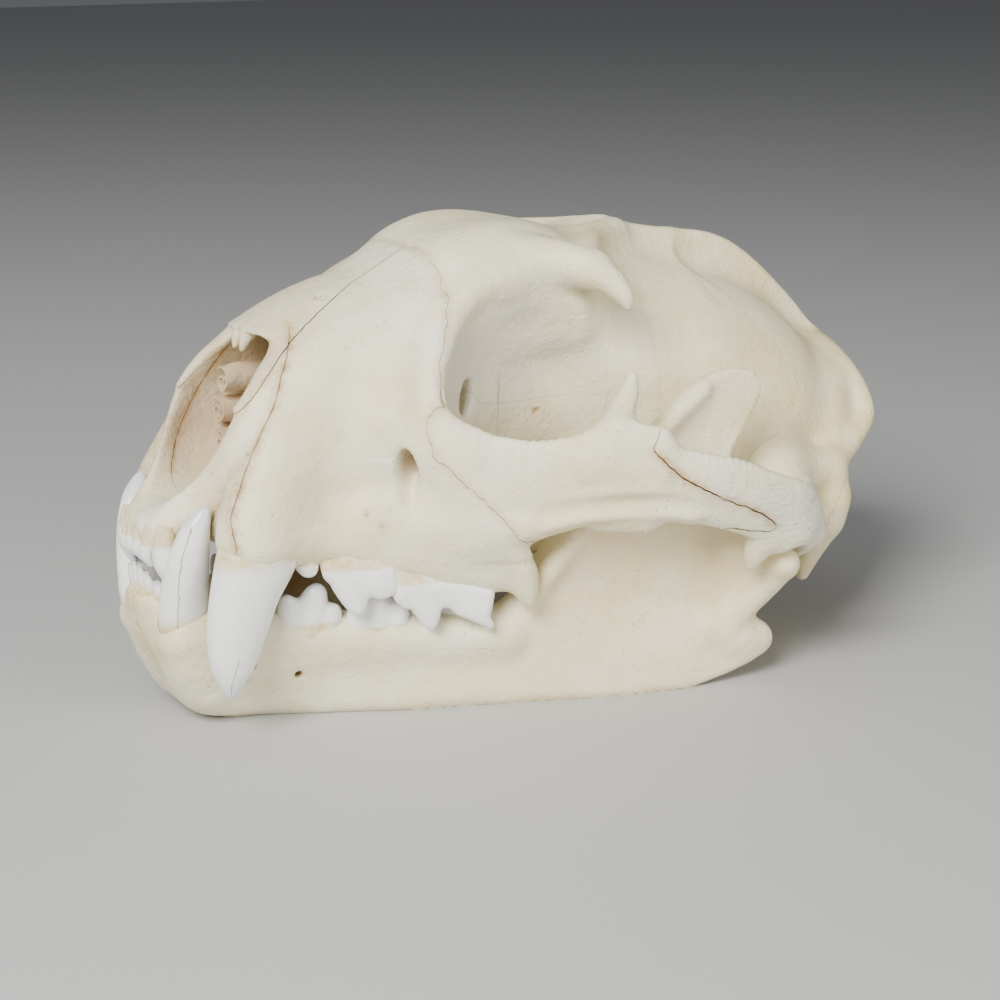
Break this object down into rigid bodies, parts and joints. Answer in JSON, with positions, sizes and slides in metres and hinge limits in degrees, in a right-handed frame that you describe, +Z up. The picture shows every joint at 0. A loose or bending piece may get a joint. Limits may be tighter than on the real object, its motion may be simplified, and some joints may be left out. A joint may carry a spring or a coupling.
{
  "type": "cougar skull",
  "caption": "Life-size cougar skull with jaws closed, resting on its lower jaw, as a still display model.",
  "frame": {"origin": "centre of the bounding box's underside, on the table the jaw rests on", "axes": "+X runs from the teeth back to the crown of the skull, +Z up, +Y to the animal's right; the mid plane is y = 0"},
  "size_m": [0.1926, 0.1294, 0.1063],
  "materials": {
    "braincase": "dry bleached bone, matt",
    "frontal_left": "dry bleached bone, matt",
    "frontal_right": "dry bleached bone, matt",
    "jugal_left": "dry bleached bone, matt",
    "jugal_right": "dry bleached bone, matt",
    "lower_canine_left": "dry enamel, glossy",
    "lower_canine_right": "dry enamel, glossy",
    "mandible_left": "dry bleached bone, matt",
    "mandible_right": "dry bleached bone, matt",
    "maxilla_left": "dry bleached bone, matt",
    "maxilla_right": "dry bleached bone, matt",
    "nasal_left": "dry bleached bone, matt",
    "nasal_right": "dry bleached bone, matt",
    "occiput": "dry bleached bone, matt",
    "palatine": "dry bleached bone, matt",
    "premaxilla_left": "dry bleached bone, matt",
    "premaxilla_right": "dry bleached bone, matt",
    "upper_canine_left": "dry enamel, glossy",
    "upper_canine_right": "dry enamel, glossy",
    "zygomatic_process_left": "dry bleached bone, matt",
    "zygomatic_process_right": "dry bleached bone, matt"
  },
  "bodies": {
    "root": {"braincase": "braincase", "frontal_left": "frontal_left", "frontal_right": "frontal_right", "jugal_left": "jugal_left", "jugal_right": "jugal_right", "lower_canine_left": "lower_canine_left", "lower_canine_right": "lower_canine_right", "mandible_left": "mandible_left", "mandible_right": "mandible_right", "maxilla_left": "maxilla_left", "maxilla_right": "maxilla_right", "nasal_left": "nasal_left", "nasal_right": "nasal_right", "occiput": "occiput", "palatine": "palatine", "premaxilla_left": "premaxilla_left", "premaxilla_right": "premaxilla_right", "upper_canine_left": "upper_canine_left", "upper_canine_right": "upper_canine_right", "zygomatic_process_left": "zygomatic_process_left", "zygomatic_process_right": "zygomatic_process_right"}
  },
  "joints": []
}
